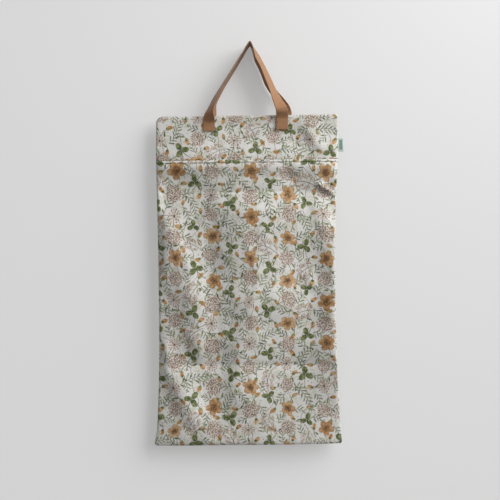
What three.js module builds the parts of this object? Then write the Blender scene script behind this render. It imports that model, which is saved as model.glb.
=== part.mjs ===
// Hanging laundry bag: a flat cloth bag with a yoke, a lapped mouth under it and two webbing handles.
// Millimetres, +Z up. The origin lies under the top of the handles, where the bag hangs. The front faces -Y.

import * as THREE from 'three';
import { mergeVertices } from 'three/addons/utils/BufferGeometryUtils.js';

const { lerp, smoothstep, degToRad } = THREE.MathUtils;

// Cloth
const clothThickness = 1.4;
const seamGap = 0.3;
const frontEdgeRadius = 9;
const flatEdgeRadius = 6;
const edgeSteps = 3;
const topCorners = { left: 14, right: 5 };
const bottomCorners = { left: 8, right: 5 };

// Body of the bag
const bagTop = -157;
const bagBottom = -880;
const topSlant = 5.2;
const bottomSlant = 6.4;
const columnSteps = 16;
const rowSpacing = 27;

// Mouth: the hemmed lip of the front panel laps over the lower edge of the yoke
const lipTop = -256;
const hemHeight = 6;
const hemProud = 0.9;
const hemStep = 1.2;
const lapDepth = 18;
const tongueInset = 14;
const tongueShoulder = 2;
const yokeSwell = 1;

// Webbing handles
const strapWidth = 26;
const strapThickness = 1.8;
const strapSewnGap = 0.5;
const strapSteps = 52;
const strapSewnOut = seamGap / 2 + flatEdgeRadius + strapSewnGap + strapThickness / 2;
const backStrapShift = 7;
const backStrapSides = { left: 1.03, right: 0.95 };
const strapSpreadStart = 85;
const strapSpreadEnd = 140;

// Side label
const labelLength = 12.5;
const labelThickness = 1.2;
const labelTop = -206;
const labelHeight = 30;

// Side edges of the hanging bag, a row for each height
const outline = [
  { z: -157, left: -206, right: 192.5 },
  { z: -256, left: -206.5, right: 193 },
  { z: -322, left: -205, right: 189.5 },
  { z: -460, left: -202, right: 185.5 },
  { z: -560, left: -200.5, right: 186.5 },
  { z: -670, left: -199.5, right: 189 },
  { z: -785, left: -202, right: 195 },
  { z: -850, left: -205.5, right: 199.5 },
  { z: -880, left: -211, right: 202 },
];

// How far the front swells beyond its rounded edge, a row for each height
const belly = [
  { z: -256, swell: 8.5 },
  { z: -400, swell: 8 },
  { z: -640, swell: 7 },
  { z: -790, swell: 5 },
  { z: -880, swell: 2 },
];

// Folds of the front panel: a line on the cloth, how far each spreads to its right and left, and its height
const frontFolds = [
  { fromX: -208, fromZ: -350, toX: -115, toZ: -540, right: 22, left: 75, height: 8 },
  { fromX: -143, fromZ: -500, toX: -75, toZ: -692, right: 73, left: 35, height: 10 },
  { fromX: -226, fromZ: -635, toX: -95, toZ: -882, right: 33, left: 21, height: 9.5 },
  { fromX: -8, fromZ: -298, toX: 26, toZ: -628, right: 42, left: 72, height: 10.5 },
  { fromX: 0, fromZ: -526, toX: -38, toZ: -832, right: 75, left: 27, height: 6 },
  { fromX: 70, fromZ: -280, toX: 135, toZ: -335, right: 18, left: 24, height: -4.2 },
  { fromX: -190, fromZ: -290, toX: -72, toZ: -368, right: 30, left: 52, height: -5.5 },
  { fromX: -95, fromZ: -352, toX: -76, toZ: -723, right: 31, left: 30, height: -6 },
  { fromX: 108, fromZ: -310, toX: 106, toZ: -648, right: 75, left: 71, height: 5 },
  { fromX: 135, fromZ: -405, toX: 147, toZ: -668, right: 28, left: 57, height: -7.5 },
];

// Folds of the yoke
const yokeFolds = [
  { fromX: 108, fromZ: -166, toX: 178, toZ: -262, right: 24, left: 12, height: 5.5 },
  { fromX: 30, fromZ: -176, toX: 128, toZ: -236, right: 30, left: 20, height: -1.5 },
  { fromX: -74, fromZ: -192, toX: 56, toZ: -166, right: 12, left: 12, height: -2.2 },
];

// Soft upright folds of the back panel
const backFolds = [
  { fromX: -110, fromZ: -300, toX: -90, toZ: -860, right: 34, left: 34, height: 3.5 },
  { fromX: 70, fromZ: -260, toX: 100, toZ: -860, right: 38, left: 38, height: 3.5 },
];

// Folds of the whole bag, front and back together: its right side curls forwards and its left side back
const bagFolds = [
  { fromX: 189, fromZ: -318, toX: 187, toZ: -830, right: 20, left: 44, height: 12 },
  { fromX: -206, fromZ: -270, toX: -208, toZ: -1050, right: 50, left: 50, height: -4.5 },
];

// Level creases where the bag was folded flat
const creases = [
  { z: -325, depth: 2.2, reach: 12 },
  { z: -517, depth: 1.8, reach: 18 },
  { z: -704, depth: 4.4, reach: 36 },
];
const backCreaseShare = 0.5;

// Path of a handle from its left sewn end to its right one.
// out is how far the middle of the webbing stands off the plane of the side seams, turn its twist in degrees.
const handlePath = [
  { x: -90.1, z: -192.5, out: strapSewnOut, turn: 0 },
  { x: -90.1, z: -180, out: strapSewnOut, turn: 0 },
  { x: -90.1, z: -169, out: 7.9, turn: 2 },
  { x: -89.9, z: -165, out: 9.6, turn: 9 },
  { x: -89.5, z: -160, out: 10.8, turn: 20 },
  { x: -88, z: -153, out: 12.4, turn: 46 },
  { x: -85.7, z: -145, out: 13.4, turn: 60 },
  { x: -77.9, z: -127.5, out: 14, turn: 69 },
  { x: -57.5, z: -90, out: 14, turn: 79 },
  { x: -36.5, z: -55, out: 14, turn: 80 },
  { x: -16.1, z: -21, out: 14, turn: 83 },
  { x: -7.2, z: -7, out: 14, turn: 88 },
  { x: 0, z: 0.9, out: 14, turn: 90 },
  { x: 5.5, z: -7, out: 14, turn: 86 },
  { x: 12.2, z: -21, out: 14, turn: 72 },
  { x: 16.4, z: -30.5, out: 14, turn: 64 },
  { x: 26.9, z: -50.5, out: 14, turn: 64 },
  { x: 40.5, z: -81, out: 13.8, turn: 58 },
  { x: 50.5, z: -104.5, out: 13.2, turn: 55 },
  { x: 62, z: -130, out: 12.4, turn: 44 },
  { x: 68.5, z: -149, out: 10.8, turn: 20 },
  { x: 70.4, z: -165, out: 7.8, turn: 1 },
  { x: 70.4, z: -176, out: strapSewnOut, turn: 0 },
  { x: 70.4, z: -188.5, out: strapSewnOut, turn: 0 },
];

// Height of the bag's top and bottom edges, which slant a little
function topEdge(x) {
  return bagTop + topSlant * x / 400;
}

function bottomEdge(x) {
  return bagBottom + bottomSlant * x / 400;
}

// Smooth curve through one column of a table that runs downwards in z
function read(table, z, column) {
  const last = table.length - 1;
  let row = 0;
  while (row < last - 1 && z < table[row + 1].z) {
    row += 1;
  }
  const slope = (k) => {
    const above = table[Math.max(k - 1, 0)];
    const below = table[Math.min(k + 1, last)];
    return (below[column] - above[column]) / (below.z - above.z);
  };
  const [start, end] = [table[row], table[row + 1]];
  const span = end.z - start.z;
  const t = THREE.MathUtils.clamp((z - start.z) / span, 0, 1);
  const bend = t * t * (3 - 2 * t);
  const rise = span * (t - 2 * t * t + t * t * t) * slope(row);
  const fall = span * (t * t * t - t * t) * slope(row + 1);
  return lerp(start[column], end[column], bend) + rise + fall;
}

// Height of one fold above the cloth at a point: a soft ridge that fades at both ends of its line
function foldHeight(fold, x, z) {
  const [alongX, alongZ] = [fold.toX - fold.fromX, fold.toZ - fold.fromZ];
  const length = Math.hypot(alongX, alongZ);
  const share = ((x - fold.fromX) * alongX + (z - fold.fromZ) * alongZ) / (length * length);
  const away = ((z - fold.fromZ) * alongX - (x - fold.fromX) * alongZ) / length;
  const width = away > 0 ? fold.right : fold.left;
  const fade = smoothstep(share, 0, 0.25) * smoothstep(1 - share, 0, 0.25);
  return fold.height * fade * Math.exp(-((away / width) ** 2));
}

function sumFolds(folds, x, z) {
  return folds.reduce((sum, fold) => sum + foldHeight(fold, x, z), 0);
}

function creaseDepth(z) {
  const dent = (crease) => crease.depth * Math.exp(-Math.abs(z - crease.z) / crease.reach);
  return creases.reduce((sum, crease) => sum + dent(crease), 0);
}

// Share of the full swell across the bag: flat in the middle, nothing at the side seams
function acrossSwell(x, z) {
  const middle = (read(outline, z, 'left') + read(outline, z, 'right')) / 2;
  const half = (read(outline, z, 'right') - read(outline, z, 'left')) / 2;
  return 1 - ((x - middle) / half) ** 4;
}

// How far each panel stands out beyond its rounded edge. calm is 0 at the seams and 1 well inside them.
function frontRelief(x, z, calm) {
  const settled = calm * smoothstep(lipTop - z, hemHeight, 40);
  const hem = z > lipTop - hemHeight - hemStep / 2 ? hemProud : 0;
  const swell = read(belly, z, 'swell') * acrossSwell(x, z);
  const folds = settled * (sumFolds(frontFolds, x, z) - creaseDepth(z));
  return swell + hem + folds + sumFolds(bagFolds, x, z);
}

function yokeRelief(x, z, calm) {
  const lower = smoothstep(bagTop - z, 45, bagTop - lipTop);
  const settled = calm * (1 - smoothstep(bagTop - z, 70, bagTop - lipTop));
  return yokeSwell * lower * acrossSwell(x, z) + settled * sumFolds(yokeFolds, x, z);
}

function backRelief(x, z, calm) {
  const folds = calm * (sumFolds(backFolds, x, z) - backCreaseShare * creaseDepth(z));
  return folds - sumFolds(bagFolds, x, z);
}

// Stations along one side of a sheet. Each has a share of the way across and a shift in from the nearer edge,
// so the rounded edges keep their size. shares lists the stations between the two rounded edges.
function stations(shares, startRadius, endRadius) {
  const rim = (radius, share, sign) => Array.from({ length: radius > 0 ? edgeSteps : 0 }, (_, step) => ({
    share,
    shift: sign * radius * (1 - Math.cos(degToRad(90 * step / edgeSteps))),
    radius,
  }));
  const inside = shares.map((share) => ({
    share,
    shift: lerp(startRadius, -endRadius, share),
    radius: 0,
  }));
  return [...rim(startRadius, 0, 1), ...inside, ...rim(endRadius, 1, -1).reverse()];
}

// Shift of a station on the inner skin, which follows the outer one a cloth's thickness inside it
function innerShift(station) {
  if (station.radius === 0) {
    return station.shift;
  }
  const kept = (station.radius - clothThickness) / station.radius;
  return station.shift * kept + Math.sign(0.5 - station.share) * clothThickness;
}

function evenShares(steps) {
  return Array.from({ length: steps + 1 }, (_, step) => step / steps);
}

// Levels split into even steps no longer than spacing, the first and last kept
function splitLevels(levels, spacing) {
  const split = [levels[0]];
  for (let k = 1; k < levels.length; k += 1) {
    const steps = Math.ceil(Math.abs(levels[k] - levels[k - 1]) / spacing);
    for (let step = 1; step <= steps; step += 1) {
      split.push(lerp(levels[k - 1], levels[k], step / steps));
    }
  }
  return split;
}

function downShares(levels, topRadius, bottomRadius) {
  const [start, end] = [bagTop - topRadius, bagBottom + bottomRadius];
  return levels.map((level) => (level - start) / (end - start));
}

// Closed sheet of cells, each corner put in place by a function of its column, its row and its skin
function sheetSolid(columns, rows, place) {
  const cells = new THREE.BoxGeometry(1, 1, 1, columns - 1, 1, rows - 1);
  cells.deleteAttribute('normal');
  cells.deleteAttribute('uv');
  const solid = mergeVertices(cells);
  const corner = solid.getAttribute('position');
  for (let k = 0; k < corner.count; k += 1) {
    const column = Math.round((corner.getX(k) + 0.5) * (columns - 1));
    const row = Math.round((0.5 - corner.getZ(k)) * (rows - 1));
    const point = place(column, row, corner.getY(k) > 0);
    corner.setXYZ(k, point.x, point.y, point.z);
  }
  return solid;
}

// Moves a point in the square corner of the outline onto the rounded corner
function roundCorner(x, z, edges) {
  const onLeft = x - edges.left < edges.right - x;
  const onTop = edges.top - z < z - edges.bottom;
  const radius = (onTop ? topCorners : bottomCorners)[onLeft ? 'left' : 'right'];
  const inX = radius - Math.min(x - edges.left, edges.right - x);
  const inZ = radius - Math.min(edges.top - z, z - edges.bottom);
  if (inX <= 0 || inZ <= 0) {
    return { x, z };
  }
  const pull = Math.max(inX, inZ) / Math.hypot(inX, inZ) - 1;
  return { x: x + (onLeft ? -1 : 1) * inX * pull, z: z + (onTop ? 1 : -1) * inZ * pull };
}

// One cloth panel of the bag. facing is -1 at the front and 1 at the back, and tongue tells which rows are
// the narrower lap of the yoke. Its rounded edges curve back to the seam that joins front and back.
function panel({ rows, radius, facing, relief, tongue = () => false }) {
  const columns = stations(evenShares(columnSteps), radius, radius);
  return sheetSolid(columns.length, rows.length, (column, row, behind) => {
    const inner = behind === (facing < 0);
    const [across, down] = [columns[column], rows[row]];
    const level = lerp(bagTop, bagBottom, down.share) + (inner ? -innerShift(down) : -down.shift);
    const [left, right] = [read(outline, level, 'left'), read(outline, level, 'right')];
    const whole = lerp(left, right, across.share) + (inner ? innerShift(across) : across.shift);
    const inset = tongueInset * (1 - 2 * (whole - left) / (right - left));
    const x = tongue(row) ? whole + inset : whole;
    const edges = { left, right, top: topEdge(x), bottom: bottomEdge(x) };
    const slant = lerp(edges.top - bagTop, edges.bottom - bagBottom, down.share);
    const z = level + slant;
    const fromSide = tongue(row) ? Infinity : Math.min(x - left, right - x);
    const fromEnd = Math.min(edges.top - z, z - edges.bottom);
    const deep = Math.min(fromSide, fromEnd) - (inner ? clothThickness : 0);
    const bend = radius - (inner ? clothThickness : 0);
    const rimDepth = deep >= bend ? bend : Math.sqrt(Math.max(bend * bend - (bend - deep) ** 2, 0));
    const calm = smoothstep(Math.min(x - left, right - x, fromEnd), 0, 2.4 * radius);
    const place = roundCorner(x, z, edges);
    const y = facing * (seamGap / 2 + rimDepth + relief(place.x, place.z, calm));
    return new THREE.Vector3(place.x, y, place.z);
  });
}

// Front panel with its hemmed lip at the top
function frontPanel() {
  const hemFoot = lipTop - hemHeight;
  const levels = [hemFoot - hemStep, ...creases.map((crease) => crease.z), bagBottom + frontEdgeRadius];
  const all = [lipTop, hemFoot, ...splitLevels(levels, rowSpacing)];
  const rows = stations(downShares(all, 0, frontEdgeRadius), 0, frontEdgeRadius);
  return panel({ rows, radius: frontEdgeRadius, facing: -1, relief: frontRelief });
}

// Yoke above the mouth, with a narrower tongue that hangs behind the lip
function yokePanel() {
  const shoulder = lipTop + tongueShoulder;
  const whole = splitLevels([bagTop - flatEdgeRadius, shoulder], rowSpacing / 2);
  const lap = splitLevels([lipTop + seamGap, lipTop - lapDepth], rowSpacing);
  const rows = stations(downShares([...whole, ...lap], flatEdgeRadius, 0), flatEdgeRadius, 0);
  const tongue = (row) => row >= rows.length - lap.length;
  return panel({ rows, radius: flatEdgeRadius, facing: -1, relief: yokeRelief, tongue });
}

// Back panel, one piece from the top edge to the bottom. Below the mouth its rows match those of the front.
function backPanel() {
  const levels = [bagTop - flatEdgeRadius, ...creases.map((crease) => crease.z), bagBottom + frontEdgeRadius];
  const all = [...splitLevels(levels, rowSpacing), bagBottom + flatEdgeRadius];
  const shares = downShares(all, flatEdgeRadius, flatEdgeRadius);
  const rows = stations(shares, flatEdgeRadius, flatEdgeRadius);
  return panel({ rows, radius: flatEdgeRadius, facing: 1, relief: backRelief });
}

// Handle: flat webbing along its path, turned on edge at the top. facing mirrors the back handle, which is
// sewn a little to one side. sides widen or narrow the left and right legs of its loop.
function handle(facing, shift, sides) {
  const line = new THREE.CatmullRomCurve3(
    handlePath.map((row) => new THREE.Vector3(row.x, 0, row.z)),
    false,
    'centripetal',
  );
  const between = (t, column) => {
    const start = Math.min(Math.floor(t * (handlePath.length - 1)), handlePath.length - 2);
    return lerp(handlePath[start][column], handlePath[start + 1][column], t * (handlePath.length - 1) - start);
  };
  return sheetSolid(3, strapSteps + 1, (column, row, behind) => {
    const t = 1 - row / strapSteps;
    const middle = line.getPoint(t);
    const along = line.getTangent(t);
    const turn = degToRad(between(t, 'turn'));
    const level = new THREE.Vector3(along.z, 0, -along.x).normalize();
    const wide = level.multiplyScalar(Math.cos(turn)).add(new THREE.Vector3(0, facing * Math.sin(turn), 0));
    const face = new THREE.Vector3().crossVectors(wide, along).normalize();
    const lift = (behind ? -0.5 : 0.5) * strapThickness;
    middle.setY(facing * between(t, 'out'));
    middle.addScaledVector(wide, (column / 2 - 0.5) * strapWidth).addScaledVector(face, lift);
    const spread = smoothstep(-middle.z, strapSpreadStart, strapSpreadEnd);
    const widen = middle.x < 0 ? sides.left : sides.right;
    middle.x = middle.x * lerp(widen, 1, spread) + shift * spread;
    return middle;
  });
}

// Folded label caught in the right side seam, its fold outwards
function sideLabel() {
  const half = labelThickness / 2;
  const folded = new THREE.Shape();
  folded.moveTo(0, -half);
  folded.lineTo(labelLength - half, -half);
  folded.absarc(labelLength - half, 0, half, -Math.PI / 2, Math.PI / 2);
  folded.lineTo(0, half);
  folded.closePath();
  return new THREE.ExtrudeGeometry(folded, { depth: labelHeight, bevelEnabled: false, curveSegments: 6 });
}

const printedCotton = { color: 0xdcd8d0, roughness: 0.85, metalness: 0 };
const tanWebbing = { color: 0xa9805b, roughness: 0.9, metalness: 0 };
const mintTape = { color: 0xa9cdc6, roughness: 0.7, metalness: 0 };

const bag = new THREE.Group();

function addPiece(name, geometry, finish) {
  const piece = new THREE.Mesh(geometry, new THREE.MeshStandardMaterial(finish));
  piece.name = name;
  bag.add(piece);
  return piece;
}

addPiece('back_panel', backPanel(), printedCotton);
addPiece('front_panel', frontPanel(), printedCotton);
addPiece('yoke_panel', yokePanel(), printedCotton);
addPiece('front_handle', handle(-1, 0, { left: 1, right: 1 }), tanWebbing);
addPiece('back_handle', handle(1, backStrapShift, backStrapSides), tanWebbing);
const label = addPiece('side_label', sideLabel(), mintTape);
const labelFoot = labelTop - labelHeight;
label.position.set(read(outline, labelFoot, 'right') + seamGap, 0, labelFoot);

export default bag;
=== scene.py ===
"""Dresses the hanging laundry bag: printed cloth, webbing handles, a folded label and its stitching."""

import math
from collections import namedtuple

import bmesh
import bpy
import numpy as np
from bpy.props import FloatProperty, FloatVectorProperty, IntProperty, PointerProperty
from mathutils import Matrix, Vector, noise


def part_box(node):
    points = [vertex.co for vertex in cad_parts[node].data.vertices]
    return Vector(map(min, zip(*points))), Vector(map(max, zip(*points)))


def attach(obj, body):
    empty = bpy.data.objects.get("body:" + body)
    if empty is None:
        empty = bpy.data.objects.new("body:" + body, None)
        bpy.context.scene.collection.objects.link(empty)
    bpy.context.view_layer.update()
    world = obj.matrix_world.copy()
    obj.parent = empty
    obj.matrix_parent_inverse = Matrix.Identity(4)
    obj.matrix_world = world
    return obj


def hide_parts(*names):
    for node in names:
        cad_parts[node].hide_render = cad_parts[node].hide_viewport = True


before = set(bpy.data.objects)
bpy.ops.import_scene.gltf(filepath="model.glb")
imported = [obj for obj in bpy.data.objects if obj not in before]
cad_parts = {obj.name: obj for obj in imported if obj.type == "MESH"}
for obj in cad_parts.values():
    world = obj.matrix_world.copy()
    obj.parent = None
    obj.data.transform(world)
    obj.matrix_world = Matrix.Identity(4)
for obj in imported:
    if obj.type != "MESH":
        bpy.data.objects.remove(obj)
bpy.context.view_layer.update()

bl_info = {
    "name": "Hanging Laundry Bag",
    "version": (1, 0, 0),
    "blender": (4, 5, 0),
    "location": "3D View > Sidebar > Laundry Bag",
    "description": "Dresses the laundry bag in printed cloth, webbing and stitching",
    "category": "Object",
}

BODY = "root"

# Sizes of the bag, in metres. The origin is where it hangs, and its front faces -Y.
BAG_TOP = -0.157
BAG_BOTTOM = -0.880
TOP_SLANT = 0.013
BOTTOM_SLANT = 0.016
SEAM_GAP = 0.0003
LIP_TOP = -0.256
LAP_DEPTH = 0.018
TONGUE_INSET = 0.014
TONGUE_SHOULDER = 0.002
YOKE_SWELL = 0.0088

# Rounded edges of the panels. Power 2 is a round edge, and a higher one is squarer. RIM_SPACING draws the
# cells towards the outside, and the folds come in over CALM_REACH radii from the edge.
Sides = namedtuple("Sides", "left right")
FRONT_RADIUS = 0.009
FLAT_RADIUS = 0.006
ROUND = 2.0
FRONT_POWERS = Sides(3.0, 4.0)
RIM_SPACING = 1.4
CALM_REACH = 2.4

# The right seam rolls forward between two depths below the top
SEAM_FORWARD = 0.0055
FORWARD_DEPTHS = (0.095, 0.170)
FORWARD_ACROSS = (-0.05, 0.05)

# Hem of the lip, with close rows of cells down to HEM_FOOT below it, and the roll of cloth under it
HEM_HEIGHT = 0.006
HEM_PROUD = 0.0018
HEM_GROOVE = 0.0002
HEM_GROOVE_WIDTH = 0.0012
HEM_CELL = 0.0006
HEM_FOOT = 0.003
Roll = namedtuple("Roll", "depth height above below")
LIP_ROLL = Roll(0.014, 0.0030, 0.008, 0.015)

# Deepest valley of the front beyond its rounded edge, and how softly it is reached
DEEPEST = -0.0050
DEEPEST_BLEND = 0.0015

# Rounding of the corners
TOP_CORNERS = Sides(0.014, 0.005)
BOTTOM_CORNERS = Sides(0.008, 0.005)

# Side edges of the hanging bag, a row for each height
Edge = namedtuple("Edge", "z left right")
OUTLINE = (
    Edge(-0.157, -0.2060, 0.1925),
    Edge(-0.256, -0.2065, 0.1930),
    Edge(-0.322, -0.2050, 0.1895),
    Edge(-0.460, -0.2020, 0.1855),
    Edge(-0.560, -0.2005, 0.1865),
    Edge(-0.670, -0.1995, 0.1890),
    Edge(-0.785, -0.2020, 0.1950),
    Edge(-0.850, -0.2055, 0.1995),
    Edge(-0.880, -0.2110, 0.2020),
)

# How far the front swells beyond its rounded edge, a row for each height
Belly = namedtuple("Belly", "z swell")
BELLY = (
    Belly(-0.256, 0.0085),
    Belly(-0.400, 0.0080),
    Belly(-0.640, 0.0068),
    Belly(-0.790, 0.0050),
    Belly(-0.880, 0.0056),
)

# Folds: a line on the cloth, the spread to its right and to its left, and how far the fold stands out
Fold = namedtuple("Fold", "from_x from_z to_x to_z right left height")
FRONT_FOLDS = (
    Fold(-0.208, -0.350, -0.115, -0.540, 0.022, 0.075, 0.0104),
    Fold(-0.143, -0.500, -0.075, -0.692, 0.060, 0.035, 0.0135),
    Fold(-0.226, -0.622, -0.095, -0.872, 0.030, 0.025, 0.0125),
    Fold(-0.008, -0.298, 0.026, -0.628, 0.056, 0.072, 0.0140),
    Fold(0.000, -0.526, -0.038, -0.832, 0.078, 0.027, 0.0082),
    Fold(0.070, -0.280, 0.135, -0.335, 0.018, 0.024, -0.0058),
    Fold(0.118, -0.500, 0.153, -0.545, 0.013, 0.013, 0.0043),
    Fold(-0.190, -0.290, -0.072, -0.368, 0.030, 0.052, -0.0070),
    Fold(-0.095, -0.352, -0.076, -0.723, 0.031, 0.030, -0.0082),
    Fold(-0.146, -0.606, -0.099, -0.703, 0.017, 0.012, 0.0038),
    Fold(0.108, -0.310, 0.106, -0.648, 0.070, 0.066, 0.0074),
    Fold(0.135, -0.405, 0.147, -0.668, 0.028, 0.057, -0.0090),
    Fold(0.139, -0.339, 0.163, -0.425, 0.036, 0.013, 0.0043),
    Fold(0.140, -0.304, 0.198, -0.339, 0.006, 0.0038, 0.0092),
    Fold(0.138, -0.312, 0.190, -0.345, 0.005, 0.0060, -0.0018),
)
YOKE_FOLDS = (
    Fold(0.108, -0.166, 0.178, -0.262, 0.024, 0.012, 0.0055),
    Fold(0.030, -0.176, 0.128, -0.236, 0.030, 0.020, -0.0030),
    Fold(-0.074, -0.192, 0.056, -0.166, 0.012, 0.012, -0.0022),
)
BACK_FOLDS = (
    Fold(-0.110, -0.300, -0.090, -0.860, 0.034, 0.034, 0.0035),
    Fold(0.070, -0.260, 0.100, -0.860, 0.038, 0.038, 0.0035),
)

# Folds of the whole bag, front and back together
BAG_FOLDS = (
    Fold(0.189, -0.318, 0.187, -0.830, 0.020, 0.044, 0.0130),
    Fold(-0.206, -0.270, -0.208, -1.050, 0.050, 0.050, -0.0018),
)

# Level creases where the bag was folded flat: a line, its depth and how far it reaches above and below
Crease = namedtuple("Crease", "z depth above below")
CREASES = (
    Crease(-0.325, 0.0052, 0.045, 0.110),
    Crease(-0.325, 0.0040, 0.012, 0.012),
    Crease(-0.517, 0.0026, 0.016, 0.016),
    Crease(-0.704, 0.0052, 0.034, 0.060),
    Crease(-0.704, 0.0028, 0.011, 0.011),
)
BACK_CREASE_SHARE = 0.2
FOLD_FADE = 0.25

# Distances below the lip or the top edge between which folds, crumples and the swell of the yoke come in
FOLDS_WHOLE = 0.040
FRONT_CRUMPLES = (0.0, 0.030)
YOKE_CRUMPLES = (0.030, 0.060)
BACK_CRUMPLES = (0.040, 0.080)
YOKE_SWELL_START = 0.045
YOKE_FADE = 0.070

# The lower right of the front is smoother than the rest
SMOOTHED = 0.6
SMOOTH_ACROSS = (-0.02, 0.08)
SMOOTH_DEPTHS = (0.60, 0.70)

# Pitches of the crumples and puckers, and a seed for each panel's own
CRUMPLE_BEND = 0.035
BEND_PITCH = 0.12
BROAD_PITCH = 0.085
RIDGE_PITCH = 0.055
FINE_PITCH = 0.022
SMALL_PUCKER = 0.011
BROAD_PUCKER = 0.027
BROAD_PUCKER_SHARE = 3.0
PUCKER_START = (0.002, 0.008)
FLAT_PUCKER_SHARE = 0.6
YOKE_CRUMPLE_SHARE = 0.6
BACK_CRUMPLE_SHARE = 0.7
Seeds = namedtuple("Seeds", "crumple puckers")
FRONT_SEEDS = Seeds(1.7, 8.8)
YOKE_SEEDS = Seeds(4.4, 3.3)
BACK_SEEDS = Seeds(9.1, 6.1)
LIP_SEED = 5.2

# Handle from its left sewn end to its right one. out is how far the middle of the webbing stands off the
# plane of the side seams, and turn is its twist in degrees.
Bend = namedtuple("Bend", "x z out turn")
SEWN_OUT = 0.00755
BACK_OUT = 0.0140
HANDLE_PATH = (
    Bend(-0.0901, -0.1925, SEWN_OUT, 0),
    Bend(-0.0901, -0.1800, SEWN_OUT, 0),
    Bend(-0.0901, -0.1745, 0.0078, 1),
    Bend(-0.0900, -0.1710, 0.0082, 3),
    Bend(-0.0899, -0.1665, 0.0118, 12),
    Bend(-0.0896, -0.1615, 0.0164, 26),
    Bend(-0.0886, -0.1550, 0.0204, 44),
    Bend(-0.0862, -0.1465, 0.0190, 57),
    Bend(-0.0779, -0.1275, 0.0150, 69),
    Bend(-0.0575, -0.0900, 0.0140, 79),
    Bend(-0.0365, -0.0550, 0.0140, 80),
    Bend(-0.0161, -0.0210, 0.0140, 83),
    Bend(-0.0072, -0.0070, 0.0140, 88),
    Bend(0.0000, 0.0009, 0.0140, 90),
    Bend(0.0055, -0.0070, 0.0140, 86),
    Bend(0.0122, -0.0210, 0.0140, 72),
    Bend(0.0164, -0.0305, 0.0140, 64),
    Bend(0.0269, -0.0505, 0.0140, 64),
    Bend(0.0405, -0.0810, 0.0138, 58),
    Bend(0.0505, -0.1045, 0.0132, 55),
    Bend(0.0620, -0.1300, 0.0165, 34),
    Bend(0.0680, -0.1430, 0.0206, 14),
    Bend(0.0698, -0.1500, 0.0180, 5),
    Bend(0.0704, -0.1580, 0.0108, 1),
    Bend(0.0704, -0.1630, 0.0078, 0),
    Bend(0.0704, -0.1760, SEWN_OUT, 0),
    Bend(0.0704, -0.1885, SEWN_OUT, 0),
)

# How the left and right legs of the back handle part from those of the front one on their way down
Leg = namedtuple("Leg", "shift widen start end")
BACK_LEGS = (Leg(0.0045, 1.03, 0.125, 0.152), Leg(0.0095, 0.95, 0.080, 0.135))
STRAIGHT_LEG = Leg(0.0, 1.0, 0.08, 0.14)
FRONT_LEGS = (STRAIGHT_LEG, STRAIGHT_LEG)
HANDLE_COLUMNS = 11

# Side label
LABEL_LOW, LABEL_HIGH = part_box("side_label")
LABEL_TAPE = 0.0003
LABEL_INSET = 0.0002
LABEL_CURL = 0.0011
CURL_TURN = 0.4
LABEL_COLUMNS = 61
LABEL_ROWS = 25
LABEL_WEFT = (0.30, 0.45, 0.42)

# Stitches: how far apart they start, how long each is and the width of the thread
Stitch = namedtuple("Stitch", "pitch sewn width")
LIP_STITCH = Stitch(0.0036, 0.0027, 0.0007)
LIP_STITCH_ENDS = Sides(0.012, 0.014)
BOX_STITCH = Stitch(0.0032, 0.0023, 0.0008)
BOX_MARGIN = 0.0032
BOX_DROP = 0.014

# Pitches of the yarns and the width of the webbing's selvedge
CLOTH_YARN = 0.0006
WEBBING_RIB = 0.0021
WEBBING_PLY = 0.0013
SELVEDGE = 0.0025
LABEL_YARN = 0.0005
THREAD_PLY = 0.0006

# Where each panel is cut from the printed cloth
FRONT_CUT = (0.0, 0.0)
YOKE_CUT = (0.031, 0.022)
BACK_CUT = (0.9, 0.3)

# Stage: the wall and floor, and each lamp's side, place and the point that it faces
WHITE = (1.0, 1.0, 1.0)
STAGE_REACH = 4.0
ROOM_BLEND = 0.2
WALL_PLACE = (0.0, 0.0273, -0.2)
FLOOR_PLACE = (0.0, 0.0, -1.2)
BAG_MIDDLE = (0.0, 0.0, -0.45)
Lamp = namedtuple("Lamp", "name side place aim")
KEY_LAMP = Lamp("Key lamp", 26.0, (20.3, -10.4, 14.0), BAG_MIDDLE)
NEAR_LAMP = Lamp("Near lamp", 0.9, (0.75, -0.75, 0.45), (0.05, 0.0, -0.25))
BACK_LAMP = Lamp("Back lamp", 2.0, (-1.2, 2.6, 0.6), BAG_MIDDLE)


def colour_property(name, description, default):
    """Colour setting in linear light."""
    limits = {"subtype": "COLOR", "min": 0, "max": 1}
    return FloatVectorProperty(name=name, description=description, default=default, **limits)


def length_property(name, description, default):
    """Length setting in metres."""
    return FloatProperty(name=name, description=description, default=default, unit="LENGTH", precision=4)


def light_property(name, description, default, unit="NONE"):
    """Strength or power of a light."""
    return FloatProperty(name=name, description=description, default=default, unit=unit, min=0)


class ClothSettings(bpy.types.PropertyGroup):
    """Cloth of the three panels"""

    thickness: length_property("Thickness", "Wall of the coated cloth", 0.0013)
    cell: length_property("Cell", "Side of one cell of the cloth", 0.003)
    crumple: length_property("Crumple", "Height of the soft crumples", 0.0040)
    pucker: length_property("Pucker", "Height of the puckers along the seams", 0.0009)
    edge_steps: IntProperty(name="Edge steps", description="Cells round each edge", default=8, min=2)
    ground: colour_property("Ground", "Unprinted cloth", (0.520, 0.508, 0.482))
    coating: colour_property("Coating", "Coated inner face", (0.80, 0.80, 0.79))
    thread: colour_property("Thread", "Thread of the lip's hem", (0.78, 0.76, 0.72))


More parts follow.
